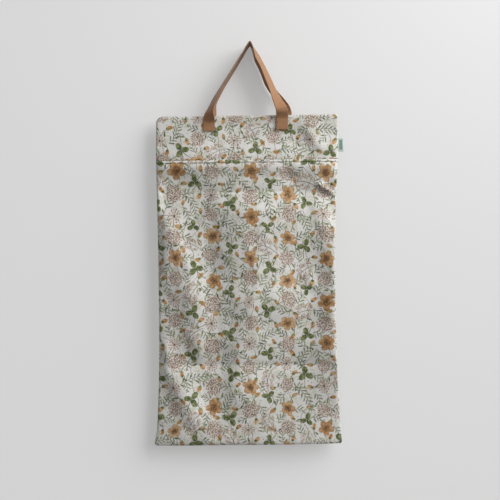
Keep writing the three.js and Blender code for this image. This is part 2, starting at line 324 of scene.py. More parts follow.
class PrintSettings(bpy.types.PropertyGroup):
    """Garden print of the cloth"""

    column: length_property("Column", "Width of the repeat", 0.082)
    drop: length_property("Drop", "Height of the repeat", 0.094)
    ochre: colour_property("Ochre", "Shade of the blossoms", (0.285, 0.140, 0.045))
    peach: colour_property("Peach", "Light of the blossoms", (0.50, 0.345, 0.195))
    bark: colour_property("Bark", "Eyes and stems", (0.052, 0.029, 0.016))
    moss: colour_property("Moss", "Shade of the leaves", (0.050, 0.068, 0.017))
    lime: colour_property("Lime", "Light of the leaves", (0.25, 0.270, 0.115))
    sage: colour_property("Sage", "Shade of the sprigs", (0.053, 0.070, 0.036))
    willow: colour_property("Willow", "Light of the sprigs", (0.335, 0.365, 0.255))
    mauve: colour_property("Mauve", "Florets", (0.13, 0.072, 0.048))
    blush: colour_property("Blush", "Light of the florets", (0.45, 0.365, 0.290))


class WebbingSettings(bpy.types.PropertyGroup):
    """Webbing of the handles"""

    width: length_property("Width", "Width of the webbing", 0.026)
    thickness: length_property("Thickness", "Thickness of the webbing", 0.0018)
    steps: IntProperty(name="Steps", description="Cells along one handle", default=260, min=40)
    tan: colour_property("Tan", "Yarn of the webbing", (0.34, 0.178, 0.088))
    # Shade is the darker colour of the webbing's tone: painted shade in the hollows between the ribs, and
    # also the darker slubs and selvedges.
    shade: colour_property("Shade", "Yarn between the ribs", (0.185, 0.092, 0.045))
    thread: colour_property("Thread", "Thread of the sewn ends", (0.20, 0.10, 0.05))


class LabelSettings(bpy.types.PropertyGroup):
    """Folded side label"""

    length: length_property("Length", "How far it stands out", LABEL_HIGH.x - LABEL_LOW.x)
    height: length_property("Height", "Height of the tape", LABEL_HIGH.z - LABEL_LOW.z)
    thickness: length_property("Thickness", "Across its fold", LABEL_HIGH.y - LABEL_LOW.y)
    mint: colour_property("Mint", "Edges of the tape", (0.42, 0.51, 0.455))
    teal: colour_property("Teal", "Middle of the tape", (0.07, 0.135, 0.118))


class StageSettings(bpy.types.PropertyGroup):
    """Wall, floor, lamps and camera"""

    lens: FloatProperty(name="Lens", description="Focal length in millimetres", default=70.0, min=10)
    distance: length_property("Distance", "Camera to the plane of the side seams", 2.139)
    view_height: length_property("View height", "Height of the middle of the view", -0.4529)
    key: light_property("Key", "Power of the key lamp", 11800.0, "POWER")
    near: light_property("Near", "Power of the lamp near the top", 6.0, "POWER")
    back: light_property("Back", "Power of the lamp behind", 30.0, "POWER")
    sky: light_property("Sky", "Strength of the light from the room", 0.375)
    bounce: light_property("Bounce", "Strength of the light from the side of the wall", 0.42)
    wall: colour_property("Wall", "Wall and floor", (0.415, 0.415, 0.415))
    glow: light_property("Glow", "Light of the paint, which keeps shadows pale", 0.28)


class BagSettings(bpy.types.PropertyGroup):
    """All settings of the laundry bag"""

    cloth: PointerProperty(type=ClothSettings)
    print: PointerProperty(type=PrintSettings)
    webbing: PointerProperty(type=WebbingSettings)
    label: PointerProperty(type=LabelSettings)
    stage: PointerProperty(type=StageSettings)


# Curves and reliefs of the cloth

def soft(value, low, high):
    """0 below low, 1 above high and smooth between them."""
    t = np.clip((value - low) / (high - low), 0.0, 1.0)
    return t * t * (3.0 - 2.0 * t)


def smooth_curve(knots, values, at):
    """Smooth curve through values at rising knots."""
    slopes = np.gradient(values, knots)
    k = np.clip(np.searchsorted(knots, at) - 1, 0, len(knots) - 2)
    span = knots[k + 1] - knots[k]
    t = np.clip((at - knots[k]) / span, 0.0, 1.0)
    rise = span * t * (1.0 - t) ** 2 * slopes[k]
    fall = span * t**2 * (1.0 - t) * slopes[k + 1]
    return values[k] + (values[k + 1] - values[k]) * soft(t, 0.0, 1.0) + rise - fall


def down_curve(rows, z, column):
    """Smooth curve through one column of a table whose rows run downwards."""
    knots = np.array([row.z for row in reversed(rows)])
    values = np.array([getattr(row, column) for row in reversed(rows)])
    return smooth_curve(knots, values, np.asarray(z))


def side_edges(z):
    """Places of the left and right side edges at a height."""
    return down_curve(OUTLINE, z, "left"), down_curve(OUTLINE, z, "right")


def top_edge(x):
    """Height of the top edge, which slants a little."""
    return BAG_TOP + TOP_SLANT * x


def bottom_edge(x):
    """Height of the bottom edge."""
    return BAG_BOTTOM + BOTTOM_SLANT * x


def fold_height(fold, x, z):
    """Height of one fold: a soft ridge that fades at both ends of its line."""
    run_x, run_z = fold.to_x - fold.from_x, fold.to_z - fold.from_z
    length = math.hypot(run_x, run_z)
    share = ((x - fold.from_x) * run_x + (z - fold.from_z) * run_z) / length**2
    away = ((z - fold.from_z) * run_x - (x - fold.from_x) * run_z) / length
    width = np.where(away > 0.0, fold.right, fold.left)
    fade = soft(share, 0.0, FOLD_FADE) * soft(1.0 - share, 0.0, FOLD_FADE)
    return fold.height * fade * np.exp(-((away / width) ** 2))


def folds_at(folds, x, z):
    """Height of all the folds of a table."""
    return sum(fold_height(fold, x, z) for fold in folds)


def crease_depth(crease, z):
    """Depth of one level crease."""
    above = z - crease.z
    return crease.depth * np.exp(-np.abs(above) / np.where(above > 0.0, crease.above, crease.below))


def creases_at(z):
    """Depth of the level creases."""
    return sum(crease_depth(crease, z) for crease in CREASES)


def across_swell(x, z):
    """Share of the swell across the bag: whole in the middle, none at the side seams."""
    left, right = side_edges(z)
    return 1.0 - np.clip((2.0 * x - left - right) / (right - left), -1.0, 1.0) ** 4


def ripple(x, z, pitch, seed):
    """Even noise over the cloth, from -1 to 1, in waves of about the given pitch."""
    spots = zip(np.ravel(x) / pitch, np.ravel(z) / pitch)
    values = [noise.noise(Vector((a, b, seed))) for a, b in spots]
    return np.array(values).reshape(np.shape(x))


def crumple_at(x, z, seed):
    """Soft crumples of packed cloth: broad waves with a few sharper ridges between them."""
    bend = CRUMPLE_BEND * ripple(x, z, BEND_PITCH, seed + 1.9)
    broad = ripple(x + bend, 0.7 * z, BROAD_PITCH, seed)
    ridge = 1.0 - 2.0 * np.abs(ripple(x - bend, 0.6 * z + bend, RIDGE_PITCH, seed + 7.3))
    fine = ripple(x + bend, z - bend, FINE_PITCH, seed + 3.1)
    return 0.9 * broad + 0.4 * ridge + 0.2 * fine


def pucker_at(distance, run, pitch, seed):
    """Puckers of about the given pitch across a seam, which die away from it."""
    return ripple(run, np.full_like(run, seed), pitch, seed) * np.exp(-np.abs(distance) / pitch)


def side_puckers(x, z, seed):
    """Puckers along both side seams, small ones and a few broad ones."""
    left, right = side_edges(z)
    away = (x - left, right - x)
    bound = soft(np.minimum(*away), *PUCKER_START)
    small = sum(pucker_at(side, z, SMALL_PUCKER, seed + more) for side, more in zip(away, (0.0, 2.6)))
    broad = sum(pucker_at(side, z, BROAD_PUCKER, seed + more) for side, more in zip(away, (4.1, 6.7)))
    return bound * (small + BROAD_PUCKER_SHARE * broad)


def kept_clear(relief):
    """Relief with its deepest valleys rounded off, so that the front stays clear of the back."""
    return DEEPEST + DEEPEST_BLEND * np.logaddexp(0.0, (relief - DEEPEST) / DEEPEST_BLEND)


def front_relief(x, z, calm, cloth):
    """How far the front panel stands out beyond its rounded edge."""
    below = LIP_TOP + TOP_SLANT * x - z
    settled = calm * soft(below, HEM_HEIGHT, FOLDS_WHOLE)
    roll = np.clip(below / HEM_HEIGHT, 0.0, 1.0) ** 1.5
    hem = HEM_PROUD * np.sqrt(4.0 * roll * (1.0 - roll))
    groove = HEM_GROOVE * np.exp(-(((below - HEM_HEIGHT) / HEM_GROOVE_WIDTH) ** 2))
    droop = below - LIP_ROLL.depth
    spread = np.where(droop < 0.0, LIP_ROLL.above, LIP_ROLL.below)
    bulge = LIP_ROLL.height * np.exp(-((droop / spread) ** 2))
    swell = down_curve(BELLY, z, "swell") * across_swell(x, z) + calm * bulge
    folds = settled * (folds_at(FRONT_FOLDS, x, z) - creases_at(z))
    smooth_corner = 1.0 - SMOOTHED * soft(x, *SMOOTH_ACROSS) * soft(-z, *SMOOTH_DEPTHS)
    crumple = cloth.crumple * crumple_at(x, z, FRONT_SEEDS.crumple)
    rough = calm * soft(below, *FRONT_CRUMPLES) * smooth_corner * crumple
    lip_puckers = pucker_at(below, x, SMALL_PUCKER, LIP_SEED)
    pinched = cloth.pucker * (lip_puckers + side_puckers(x, z, FRONT_SEEDS.puckers))
    return kept_clear(swell + hem - groove + folds + rough + pinched) + folds_at(BAG_FOLDS, x, z)


def yoke_relief(x, z, calm, cloth):
    """How far the yoke stands out beyond its rounded edge."""
    under = top_edge(x) - z
    depth = BAG_TOP - LIP_TOP
    fade = 1.0 - soft(under, YOKE_FADE, depth)
    settled = calm * fade
    crumple = cloth.crumple * crumple_at(x, z, YOKE_SEEDS.crumple)
    rough = YOKE_CRUMPLE_SHARE * settled * soft(under, *YOKE_CRUMPLES) * crumple
    swell = YOKE_SWELL * soft(under, YOKE_SWELL_START, depth) * across_swell(x, z)
    pinched = FLAT_PUCKER_SHARE * cloth.pucker * side_puckers(x, z, YOKE_SEEDS.puckers) * fade
    return swell + settled * folds_at(YOKE_FOLDS, x, z) + rough + pinched


def back_relief(x, z, calm, cloth):
    """How far the back panel stands out beyond its rounded edge."""
    crumple = cloth.crumple * crumple_at(x, z, BACK_SEEDS.crumple)
    rough = BACK_CRUMPLE_SHARE * crumple * soft(top_edge(x) - z, *BACK_CRUMPLES)
    folds = folds_at(BACK_FOLDS, x, z) - BACK_CREASE_SHARE * creases_at(z)
    pinched = FLAT_PUCKER_SHARE * cloth.pucker * side_puckers(x, z, BACK_SEEDS.puckers)
    return calm * (folds + rough) + pinched - folds_at(BAG_FOLDS, x, z)


# Panels of the bag

def rim_steps(radius, steps):
    """Insets of the cells round an edge, closest at its outside."""
    turn = math.pi / 2.0 * np.linspace(0.0, 1.0, steps + 1)[:-1] ** RIM_SPACING
    return radius * (1.0 - np.cos(turn))


def rim_share(deep, radius, power):
    """Share of the edge's height at a distance from the outside."""
    return (1.0 - np.clip(1.0 - deep / radius, 0.0, 1.0) ** power) ** (1.0 / power)


def cloth_run(place, height, axis):
    """Place along the flat cloth: the place of its middle, and the length of cloth from there."""
    step = np.hypot(np.diff(place, axis=axis), np.diff(height, axis=axis))
    run = np.insert(np.cumsum(step, axis=axis), 0, 0.0, axis=axis)
    middle = [place.shape[axis] // 2]
    return run - np.take(run, middle, axis=axis) + np.take(place, middle, axis=axis)


def spaced(start, end, cell):
    """Even levels from start to end, both kept."""
    return np.linspace(start, end, 1 + max(1, round(abs(end - start) / cell)))


def round_corners(x, z, edges):
    """Moves the points in each square corner of the outline onto the rounded corner."""
    left, right, top, bottom = edges
    on_left, on_top = x - left < right - x, top - z < z - bottom
    upper = np.where(on_left, TOP_CORNERS.left, TOP_CORNERS.right)
    lower = np.where(on_left, BOTTOM_CORNERS.left, BOTTOM_CORNERS.right)
    radius = np.where(on_top, upper, lower)
    in_x = radius - np.minimum(x - left, right - x)
    in_z = radius - np.minimum(top - z, z - bottom)
    within = (in_x > 0.0) & (in_z > 0.0)
    reach = np.where(within, np.hypot(in_x, in_z), 1.0)
    pull = np.where(within, np.maximum(in_x, in_z) / reach - 1.0, 0.0)
    to_side = np.where(on_left, -1.0, 1.0)
    to_end = np.where(on_top, 1.0, -1.0)
    return x + to_side * in_x * pull, z + to_end * in_z * pull


def panel_points(levels, radius, facing, relief, cloth, tongue_rows=0):
    """Places of one panel's points, a row for each level from the bottom, and their flat places."""
    inset = rim_steps(radius, cloth.edge_steps)
    shares = spaced(0.0, 1.0, cloth.cell / (OUTLINE[-1].right - OUTLINE[-1].left))
    share = np.concatenate([0.0 * inset, shares, 1.0 + 0.0 * inset])
    shift = np.concatenate([inset, radius * (1.0 - 2.0 * shares), -inset[::-1]])
    level = np.repeat(levels[:, None], len(share), axis=1)
    left, right = side_edges(level)
    x = left + (right - left) * share + shift
    tongue = np.zeros(x.shape, dtype=bool)
    tongue[:tongue_rows] = True
    x = np.where(tongue, x + TONGUE_INSET * (1.0 - 2.0 * (x - left) / (right - left)), x)
    top, bottom = top_edge(x), bottom_edge(x)
    down = (level - BAG_TOP) / (BAG_BOTTOM - BAG_TOP)
    z = level + (1.0 - down) * (top - BAG_TOP) + down * (bottom - BAG_BOTTOM)
    from_side, from_end = np.minimum(x - left, right - x), np.minimum(top - z, z - bottom)
    power = np.where(x > 0.0, FRONT_POWERS.right, FRONT_POWERS.left) if facing < 0.0 else ROUND
    side_share = rim_share(np.where(tongue, radius, from_side), radius, power)
    forward = SEAM_FORWARD * soft(BAG_TOP - level, *FORWARD_DEPTHS) * soft(x, *FORWARD_ACROSS)
    rim = (radius + facing * forward) * side_share * rim_share(from_end, radius, ROUND)
    calm = soft(np.minimum(from_side, from_end), 0.0, CALM_REACH * radius)
    flat = np.stack([cloth_run(x, rim, 1), cloth_run(z, rim, 0)], axis=-1)
    x, z = round_corners(x, z, (left, right, top, bottom))
    y = facing * (SEAM_GAP / 2.0 + rim + relief(x, z, calm, cloth)) - forward
    return np.stack([x, y, z], axis=-1), flat


def new_object(name, shape, materials):
    """Object of a finished bmesh, in the scene."""
    mesh = bpy.data.meshes.new(name)
    shape.to_mesh(mesh)
    shape.free()
    for material in materials:
        mesh.materials.append(material)
    thing = bpy.data.objects.new(name, mesh)
    bpy.context.scene.collection.objects.link(thing)
    return thing


def grid_piece(name, places, flat, materials, facing_back=False):
    """Sheet of cells at the given places, with the flat places as its UV map."""
    rows, columns = places.shape[:2]
    shape = bmesh.new()
    bmesh.ops.create_grid(shape, x_segments=columns - 1, y_segments=rows - 1, size=1.0)
    shape.verts.ensure_lookup_table()
    for vertex, place in zip(shape.verts, places.reshape(-1, 3)):
        vertex.co = place
    if facing_back:
        bmesh.ops.reverse_faces(shape, faces=shape.faces)
    piece = new_object(name, shape, materials)
    mesh = piece.data
    mesh.shade_smooth()
    corners = np.empty(len(mesh.loops), dtype=np.int32)
    mesh.loops.foreach_get("vertex_index", corners)
    layer = mesh.uv_layers.new(name="Flat")
    layer.data.foreach_set("uv", flat.reshape(-1, 2)[corners].astype(np.float32).ravel())
    return piece


def add_wall(piece, thickness, offset, inner_slot=0):
    """Gives a sheet its thickness."""
    wall = piece.modifiers.new("Wall", "SOLIDIFY")
    wall.thickness = thickness
    wall.offset = offset
    wall.use_even_offset = True
    wall.material_offset = inner_slot


def front_levels(cloth):
    """Levels of the front panel from the bottom seam to the lip, with close rows at the hem."""
    inset = rim_steps(FRONT_RADIUS, cloth.edge_steps)
    hem_foot = LIP_TOP - HEM_HEIGHT - HEM_FOOT
    body = spaced(BAG_BOTTOM + FRONT_RADIUS, hem_foot, cloth.cell)
    hem = spaced(hem_foot, LIP_TOP, HEM_CELL)[1:]
    return np.concatenate([BAG_BOTTOM + inset, body, hem])


def yoke_levels(cloth):
    """Levels of the yoke from the foot of its tongue to the top seam, and the number of tongue rows."""
    inset = rim_steps(FLAT_RADIUS, cloth.edge_steps)
    tongue = spaced(LIP_TOP - LAP_DEPTH, LIP_TOP + SEAM_GAP, cloth.cell)
    body = spaced(LIP_TOP + TONGUE_SHOULDER, BAG_TOP - FLAT_RADIUS, cloth.cell)
    return np.concatenate([tongue, body, BAG_TOP - inset[::-1]]), len(tongue)


def back_levels(cloth):
    """Levels of the back panel from the bottom seam to the top seam."""
    inset = rim_steps(FLAT_RADIUS, cloth.edge_steps)
    body = spaced(BAG_BOTTOM + FLAT_RADIUS, BAG_TOP - FLAT_RADIUS, cloth.cell)
    return np.concatenate([BAG_BOTTOM + inset, body, BAG_TOP - inset[::-1]])


def cloth_panel(name, node, places, flat, cut, materials, cloth, facing_back=False):
    """One panel in place of its CAD node, cut from the given place of the printed cloth."""
    piece = grid_piece(name, places, flat + np.array(cut), materials, facing_back)
    add_wall(piece, cloth.thickness, -1.0, inner_slot=1)
    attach(piece, BODY)
    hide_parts(node)


# Node trees

class Wire:
    """Number or colour in a node tree. Arithmetic on it adds the nodes that work it out."""

    def __init__(self, graph, socket):
        self.graph = graph
        self.socket = socket

    def __add__(self, other):
        return self.graph.math("ADD", self, other)

    def __sub__(self, other):
        return self.graph.math("SUBTRACT", self, other)

    def __rsub__(self, other):
        return self.graph.math("SUBTRACT", other, self)

    def __mul__(self, other):
        return self.graph.math("MULTIPLY", self, other)

    def __truediv__(self, other):
        return self.graph.math("DIVIDE", self, other)

    def __abs__(self):
        return self.graph.math("ABSOLUTE", self)

    __radd__ = __add__


class Graph:
    """Adds nodes to a tree."""

    def __init__(self, tree):
        self.tree = tree

    def node(self, kind, **settings):
        node = self.tree.nodes.new(kind)
        for name, value in settings.items():
            setattr(node, name, value)
        return node

    def feed(self, socket, value):
        """Links a wire to a socket, or sets the socket to a number or colour."""
        if isinstance(value, Wire):
            self.tree.links.new(value.socket, socket)
        elif socket.type == "RGBA":
            socket.default_value = (*value, 1.0)
        else:
            socket.default_value = value

    def wire(self, node, output=0):
        return Wire(self, node.outputs[output])

    def math(self, operation, *values):
        node = self.node("ShaderNodeMath", operation=operation)
        for socket, value in zip(node.inputs, values):
            self.feed(socket, value)
        return self.wire(node)

    def lowest(self, a, b):
        return self.math("MINIMUM", a, b)

    def highest(self, a, b):
        return self.math("MAXIMUM", a, b)

    def rounded(self, value):
        return self.math("ROUND", value)

    def sine(self, value):
        return self.math("SINE", value)

    def cosine(self, value):
        return self.math("COSINE", value)

    def length(self, x, y):
        return self.math("SQRT", self.math("MULTIPLY_ADD", x, x, y * y))

    def ramp(self, value, low, high, start=0.0, end=1.0):
        """start below low, end above high and smooth between them."""
        node = self.node("ShaderNodeMapRange", interpolation_type="SMOOTHSTEP")
        for socket, number in zip(node.inputs, (value, low, high, start, end)):
            self.feed(socket, number)
        return self.wire(node)

    def inside(self, distance, edge=0.35):
        """1 where a signed distance is inside a shape."""
        return self.ramp(distance, -edge, edge, 1.0, 0.0)

    def mix(self, factor, below, above):
        """Mix of two colours. They go into sockets 6 and 7 of the node and come out of its socket 2."""
        node = self.node("ShaderNodeMix", data_type="RGBA")
        for index, value in ((0, factor), (6, below), (7, above)):
            self.feed(node.inputs[index], value)
        return self.wire(node, 2)

    def vector(self, x, y, z):
        node = self.node("ShaderNodeCombineXYZ")
        for socket, value in zip(node.inputs, (x, y, z)):
            self.feed(socket, value)
        return self.wire(node)

    def split(self, vector):
        node = self.node("ShaderNodeSeparateXYZ")
        self.feed(node.inputs[0], vector)
        return [self.wire(node, k) for k in range(3)]

    def random(self, key):
        """Random number from 0 to 1 for a key."""
        node = self.node("ShaderNodeTexWhiteNoise", noise_dimensions="1D")
        self.feed(node.inputs["W"], key)
        return self.wire(node)

    def noise(self, vector, scale, detail=2.0, output=0):
        node = self.node("ShaderNodeTexNoise")
        self.feed(node.inputs["Vector"], vector)
        node.inputs["Scale"].default_value = scale
        node.inputs["Detail"].default_value = detail
        return self.wire(node, output)


# Garden print, worked out in millimetres on the flat cloth

Motif = namedtuple("Motif", "mask shade light tone")


def scatter(g, u, v, bed):
    """Place in the nearest cell of a half-drop repeat, turned and sized at random, and a random number."""
    across = (u - bed.u) / bed.column
    step = g.rounded(across)
    down = (v - bed.v) / bed.drop - step * 0.5
    row = g.rounded(down)
    chance = g.node("ShaderNodeTexWhiteNoise", noise_dimensions="3D")
    g.feed(chance.inputs["Vector"], g.vector(step, row, bed.seed))
    red, green, blue = g.split(g.wire(chance, "Color"))
    x = (across - step) * bed.column + (red - 0.5) * bed.jitter
    y = (down - row) * bed.drop + (green - 0.5) * bed.jitter
    angle = g.wire(chance) * math.tau
    size = 0.88 + blue * 0.24
    cosine, sine = g.cosine(angle) / size, g.sine(angle) / size
    return x * cosine + y * sine, y * cosine - x * sine, red


def almond(g, x, y, half_length, half_width):
    """Signed distance to a pointed leaf that lies along x."""
    radius = (half_length**2 + half_width**2) / (2.0 * half_width)
    return g.length(x, abs(y) + (radius - half_width)) - radius


def petal_place(g, x, y, petals):
    """Place along and across the nearest of several petals, and the reach from their middle."""
    turn = math.tau / petals
    reach = g.length(x, y)
    angle = g.math("ARCTAN2", x, y)
    side = angle - g.rounded(angle / turn) * turn
    return reach * g.cosine(side), abs(reach * g.sine(side)), reach


def dot_field(g, x, y, cell):
    """Distance to the nearest of many scattered dots about a cell apart, and the dot's random number."""
    dots = g.node("ShaderNodeTexVoronoi", voronoi_dimensions="2D")
    g.feed(dots.inputs["Vector"], g.vector(x / cell, y / cell, 0.0))
    dots.inputs["Scale"].default_value = 1.0
    return g.wire(dots) * cell, g.split(g.wire(dots, "Color"))[0]


def blossom(g, x, y, chance, wash, ink):
    """Open flower of five veined petals with a dark eye."""
    tilted = y * (1.0 + chance * 0.55)
    out, across, reach = petal_place(g, x, tilted, 5)
    notch = g.ramp(across, 0.0, 2.4, 1.6, 0.0)
    petal = (g.length((out + notch - 11.4) / 8.6, across / 7.2) - 1.0) * 7.2
    veins = g.lowest(across, abs(across - out * 0.17))
    veins = g.lowest(veins, abs(across - out * 0.36))
    throat = g.ramp(reach, 3.0, 12.0, 0.85, 0.0)
    stamens = g.length(out - 6.6, across - 2.0) - 0.9
    return [
        Motif(g.inside(petal), ink.ochre, ink.peach, wash * 0.9 + out * 0.022 + chance * 1.1 - 0.5),
        Motif(g.inside(petal) * throat, ink.bark, ink.ochre, wash * 0.8),
        Motif(g.inside(abs(petal + 0.5) - 0.45) * 0.75, ink.bark, ink.ochre, wash * 0.7),
        Motif(g.inside(veins - 0.35) * g.inside(petal + 1.4) * 0.7, ink.bark, ink.ochre, 0.4),
        Motif(g.inside(g.lowest(stamens, reach - 2.8)), ink.bark, ink.ochre, wash * 0.3),
    ]


Branching = namedtuple("Branching", "bend lean stagger pitch pairs")


def branch_place(g, x, y, chance, shape):
    """Place across a bent stem along y, place across its nearest branch, its step and a random number."""
    bent = x - y * y * shape.bend
    hand = g.math("SIGN", bent)
    climb = y - abs(bent) * shape.lean + hand * shape.stagger
    step = g.lowest(g.highest(g.rounded(climb / shape.pitch), -shape.pairs), shape.pairs)
    vary = g.random(step * 2.0 + hand * 0.5 + chance * 40.0)
    return bent, climb - step * shape.pitch, step, vary


def leafy_stem(g, x, y, chance, reach, pairs, pitch, leaf):
    """Signed distances to a bent stem's leaves, to the stem and to the midribs, and a random number."""
    shape = Branching(0.22 / reach, 0.85, 0.24 * pitch, pitch, pairs)
    bent, off, step, vary = branch_place(g, x, y, chance, shape)
    side = abs(bent)
    size = (1.12 - (step + pairs) * (0.40 / (2.0 * pairs))) * (0.72 + vary * 0.5)
    lengthwise, sideways = side / size - leaf * 1.02, off / size
    leaves = almond(g, lengthwise, sideways, leaf, leaf * 0.44) * 0.8
    tip = almond(g, y - reach, bent, leaf * 0.85, leaf * 0.36)
    stem = g.highest(side - 0.5, abs(y) - reach)
    ribs = g.highest(abs(sideways) - 0.3, leaves + 0.5)
    return g.lowest(leaves, tip), stem, ribs, vary


def sprig(g, x, y, chance, wash, ink):
    """Long sprig of grey-green leaves."""
    leaves, stem, ribs, vary = leafy_stem(g, x, y, chance, 28.0, 3, 8.6, 5.4)
    return [
        Motif(g.inside(stem), ink.sage, ink.bark, 0.6),
        Motif(g.inside(leaves), ink.sage, ink.willow, wash * 0.9 + vary * 0.8 - 0.4),
        Motif(g.inside(ribs) * 0.7, ink.sage, ink.willow, 0.0),
    ]


def lacy_spray(g, x, y, chance, wash, ink):
    """Loose spray of thin stalks, each with a puff of tiny mauve florets."""
    reach = 22.0
    bent, off, _, vary = branch_place(g, x, y, chance, Branching(-0.008, 0.9, 3.0, 13.5, 1))
    side = abs(bent)
    arm = 9.0 + vary * 4.0
    stalks = g.highest(abs(off) - 0.34, side - arm)
    stem = g.highest(side - 0.5, abs(y) - reach)
    puff = g.length(side - arm, off * 0.8) - 4.6 - vary * 1.6
    crown = g.length(bent, y - reach) - 5.6
    florets, _ = dot_field(g, x, y, 2.5)
    shown = g.inside(g.lowest(puff, crown), 0.9)
    return [
        Motif(g.inside(g.lowest(stem, stalks)), ink.bark, ink.mauve, 0.6),
        Motif(shown * 0.3, ink.blush, ink.blush, 0.0),
        Motif(shown * g.inside(florets - 0.95, 0.3), ink.mauve, ink.blush, wash * 0.7 - 0.1),
    ]


def twig(g, x, y, chance, wash, ink):
    """Short twig of leaves."""
    leaves, stem, ribs, vary = leafy_stem(g, x, y, chance, 12.0, 1, 8.0, 4.8)
    return [
        Motif(g.inside(stem), ink.sage, ink.bark, 0.6),
        Motif(g.inside(leaves), ink.moss, ink.willow, wash + vary * 0.7 - 0.35),
        Motif(g.inside(ribs) * 0.6, ink.sage, ink.lime, 0.0),
    ]


def faded_twig(g, x, y, chance, wash, ink):
    """Pale twig behind the others."""
    leaves, stem, _, vary = leafy_stem(g, x, y, chance, 14.0, 1, 9.0, 6.4)
    shown = g.inside(g.lowest(leaves, stem), 0.7) * 0.55
    return [Motif(shown, ink.willow, ink.blush, wash * 0.8 + vary * 0.4 - 0.3)]


def flower_head(g, x, y, chance, wash, ink):
    """Round head of many small mauve florets on a leafy stalk."""
    spot, _ = dot_field(g, x, y, 3.3)
    head = g.length(x, (y - 4.0) * 1.12) - 15.5 - wash * 4.5
    shown = g.inside(head, 1.2)
    bent = x - (y + 8.0) * (y + 8.0) * 0.012
    stalk = g.highest(abs(bent) - 0.6, abs(y + 17.0) - 11.0)
    leaf = almond(g, abs(bent) - 5.4, y + 19.0 - abs(bent) * 0.7, 5.6, 2.1)
    return [
        Motif(g.inside(stalk), ink.bark, ink.mauve, 0.5),
        Motif(g.inside(leaf), ink.sage, ink.willow, wash),
        Motif(shown * 0.35, ink.blush, ink.blush, 0.0),
        Motif(shown * g.inside(abs(spot - 1.0) - 0.45, 0.3), ink.mauve, ink.blush, wash * 0.6 - 0.1),
        Motif(shown * g.inside(spot - 0.42, 0.25), ink.bark, ink.mauve, 0.5),
    ]


def garden_leaf(g, x, y, chance, wash, ink):
    """Leaf of three toothed leaflets on a curved stem."""
    out, across, _ = petal_place(g, x, y, 3)
    teeth = g.sine((out + across) * 2.1) * 0.45
    lobes = (g.length((out - 8.4) / 7.6, across / 5.5) - 1.0) * 5.5 + teeth
    stem = g.highest(abs(x - y * y * 0.012) - 0.65, abs(y + 13.0) - 13.0)
    veins = abs(g.sine((out - across * 0.9) * 1.25)) * 0.8
    ribs = g.highest(g.lowest(across - 0.3, veins - 0.18), lobes + 0.6)
    return [
        Motif(g.inside(stem), ink.moss, ink.bark, 0.5),
        Motif(g.inside(lobes), ink.moss, ink.lime, wash * 1.1 + out * 0.03 - 0.5),
        Motif(g.inside(ribs) * 0.65, ink.sage, ink.moss, 0.2),
        Motif(g.inside(abs(lobes + 0.4) - 0.35) * 0.5, ink.sage, ink.moss, 0.2),
    ]


def bud(g, x, y, chance, wash, ink):
    """Closed bud with a green cup on a bent stalk."""
    bent = x - y * y * 0.014
    petals = almond(g, y - 7.0, bent, 7.4, 4.6)
    cup = g.highest(almond(g, y - 4.2, bent, 4.8, 4.0), y - 5.6 + abs(bent) * 0.9)
    stalk = g.highest(abs(bent) - 0.5, abs(y + 8.0) - 9.5)
    leaf = almond(g, (bent - y - 13.0) * 0.707, (bent + y + 4.0) * 0.707, 5.0, 2.1)
    lines = abs(abs(bent) - 1.3) - 0.3
    return [
        Motif(g.inside(stalk), ink.bark, ink.sage, 0.2),
        Motif(g.inside(petals), ink.ochre, ink.peach, wash * 1.2 - 0.2),
        Motif(g.inside(g.highest(lines, petals + 0.8)) * 0.6, ink.bark, ink.ochre, 0.4),
        Motif(g.inside(g.lowest(cup, leaf)), ink.moss, ink.lime, wash * 1.1 - 0.2),
    ]


def trailing_stems(g, u, v, column, drop, ink):
    """Thin stems that wander upwards all over the cloth."""
    sway = g.sine(v * (math.tau / drop)) * 8.0 + g.sine(v * (1.7 * math.tau / drop)) * 4.0
    across = (u + sway) / column
    away = abs(across - g.rounded(across)) * column
    return Motif(g.inside(away - 0.5) * 0.95, ink.bark, ink.mauve, 0.3)


def seeds(g, u, v, ink):
    """Tiny seeds strewn between the motifs."""
    grain, chance = dot_field(g, u, v, 7.5)
    return Motif(g.inside(grain - chance * 1.3, 0.3) * 0.75, ink.bark, ink.mauve, chance)


def seed_clock(g, x, y, chance, wash, ink):
    """Round seed head: fine rays that end in mauve tufts, on a long stalk."""
    tilted = y * (1.0 + chance * 0.35)
    out, across, reach = petal_place(g, x, tilted, 13)
    inner_out, inner_across, _ = petal_place(g, x, tilted, 8)
    rays = g.highest(g.lowest(across, inner_across) - 0.3, abs(reach - 7.6) - 5.4)
    tufts = g.lowest(g.length(out - 14.2, across) - 1.7, g.length(inner_out - 8.6, inner_across) - 1.4)
    bent = x - (y + 6.0) * (y + 6.0) * 0.010
    stalk = g.highest(abs(bent) - 0.55, abs(y + 17.0) - 15.0)
    return [
        Motif(g.inside(stalk), ink.bark, ink.mauve, 0.5),
        Motif(g.inside(reach - 14.5, 3.0) * 0.35, ink.blush, ink.blush, 0.0),
        Motif(g.inside(rays) * 0.85, ink.mauve, ink.bark, 0.3),
        Motif(g.inside(tufts, 0.45), ink.mauve, ink.blush, wash * 0.8 - 0.1),
        Motif(g.inside(reach - 2.4), ink.bark, ink.mauve, wash * 0.8),
    ]


def either(first, second, share):
    """Motif that is the first of two in the given share of places and the second elsewhere."""
    def motif(g, x, y, chance, wash, ink):
        picked = g.math("LESS_THAN", chance, share)
        layers = []
        for drawn, shown in ((first, picked), (second, 1.0 - picked)):
            for layer in drawn(g, x, y, chance, wash, ink):
                layers.append(layer._replace(mask=layer.mask * shown))
        return layers
    return motif


Bed = namedtuple("Bed", "motif column drop u v seed jitter")
MILLIMETRES = 1000.0
PRINT_WOBBLE = 2.6


def dimmed(colour, share):
    """Colour with each part of it at a share of its strength."""
    return [share * part for part in colour]


